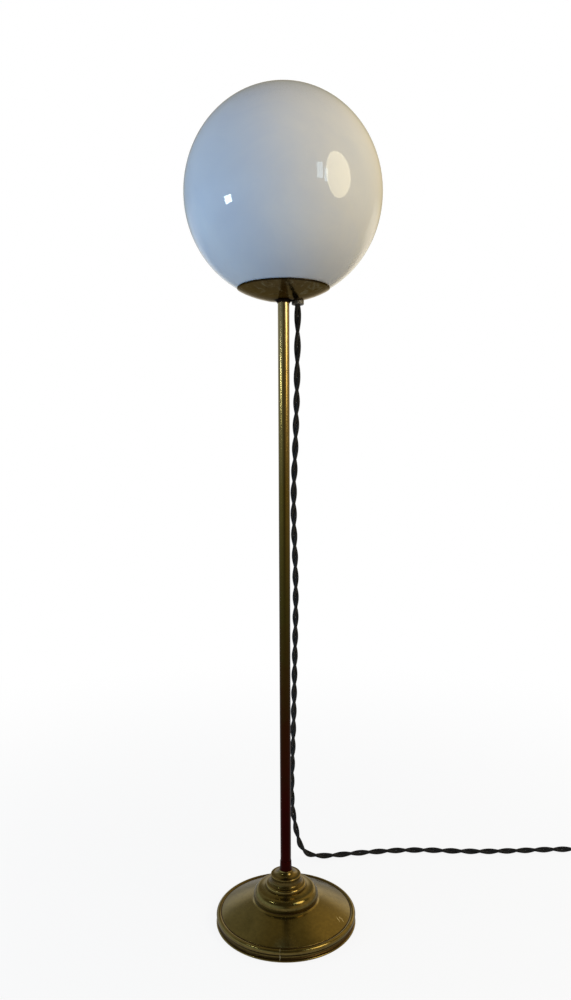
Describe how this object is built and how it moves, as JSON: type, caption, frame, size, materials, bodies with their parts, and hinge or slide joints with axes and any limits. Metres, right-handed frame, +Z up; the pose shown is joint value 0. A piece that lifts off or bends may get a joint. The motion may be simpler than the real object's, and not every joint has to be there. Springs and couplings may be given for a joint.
{
  "type": "globe floor lamp",
  "caption": "Floor lamp: opal glass globe in a shallow brass dish on a slim brass tube, stepped round foot, twisted cloth flex with rocker switch and plug.",
  "frame": {"origin": "on the floor, on the axis of the tube, at the underside of the foot", "axes": "+Z up along the tube; the picture is taken from -Y, with +X to its right; the flex hangs behind the tube at +Y"},
  "size_m": [0.836, 0.323, 1.1105],
  "materials": {
    "foot_brass": "old lacquered brass with brown patina",
    "stem_brass": "polished brass gone olive brown",
    "dish_brass": "spun brass, brown patina, speckled",
    "dark_brass": "turned brass, nearly black with age",
    "contact_brass": "bright pressed brass",
    "pin_brass": "turned brass pins",
    "steel": "zinc plated steel",
    "screw_steel": "small plated screws",
    "cast_iron": "rough cast iron",
    "felt": "dark green felt",
    "opal_glass": "blown opal glass, glossy",
    "seat_rubber": "clear soft ring",
    "bushing_plastic": "grey brown moulded plastic",
    "holder_plastic": "dark moulded thermoset",
    "porcelain": "glazed porcelain",
    "flex_braid": "black braided cotton, two twisted cores",
    "tie_plastic": "thin black strap",
    "switch_plastic": "black moulded plastic",
    "rocker_plastic": "black moulded plastic",
    "plug_rubber": "ribbed rubber sleeve",
    "plug_plastic": "black moulded plastic",
    "bulb_aluminium": "rolled thread aluminium",
    "bulb_insulator_glass": "dark glass",
    "bulb_solder": "solder pad",
    "bulb_frosted_glass": "frosted glass"
  },
  "bodies": {
    "lamp": {"base_shell": "foot_brass", "base_weight": "cast_iron", "base_felt": "felt", "base_collar": "foot_brass", "base_washer": "steel", "base_lock_washer": "steel", "base_nut": "steel", "base_rod": "steel", "stem_ferrule": "stem_brass", "stem_tube": "stem_brass", "stem_lower_bush": "stem_brass", "stem_upper_bush": "stem_brass", "top_collar": "dark_brass", "gallery_dish": "dish_brass", "glass_spider": "steel", "dish_washer": "steel", "dish_nut": "steel", "top_nipple": "steel", "cord_bushing": "bushing_plastic", "bushing_screw": "screw_steel", "bushing_nut": "bushing_plastic", "globe_seat": "seat_rubber", "holder_cap": "holder_plastic", "holder_insert": "porcelain", "holder_thread_shell": "contact_brass", "holder_contact": "contact_brass", "holder_terminals": "contact_brass", "holder_terminal_screws": "screw_steel", "holder_skirt": "holder_plastic", "lead_live": "flex_braid", "lead_neutral": "flex_braid", "flex_hanging": "flex_braid", "flex_coil": "flex_braid", "coil_tie": "tie_plastic", "switch_lower_half": "switch_plastic", "switch_upper_half": "switch_plastic", "switch_screws": "screw_steel", "plug_sleeve": "plug_rubber", "plug_body": "plug_plastic", "plug_pins": "pin_brass"},
    "globe": {"globe": "opal_glass"},
    "bulb": {"bulb_cap": "bulb_aluminium", "bulb_insulator": "bulb_insulator_glass", "bulb_contact": "bulb_solder", "bulb_glass": "bulb_frosted_glass"},
    "rocker": {"switch_rocker": "rocker_plastic"}
  },
  "joints": [
    {"name": "globe_lift", "type": "slide", "parent": "lamp", "child": "globe", "axis": [0, 0, 1], "range_m": [0, 0.16]},
    {"name": "bulb_turn", "type": "hinge", "parent": "lamp", "child": "bulb", "pos_m": [0, 0, 0.91], "axis": [0, 0, 1], "range_deg": [0, 1080]},
    {"name": "switch_press", "type": "hinge", "parent": "lamp", "child": "rocker", "pos_m": [0.53, 0.184, 0.014], "axis": [0, 1, 0], "range_deg": [0, 14]}
  ]
}
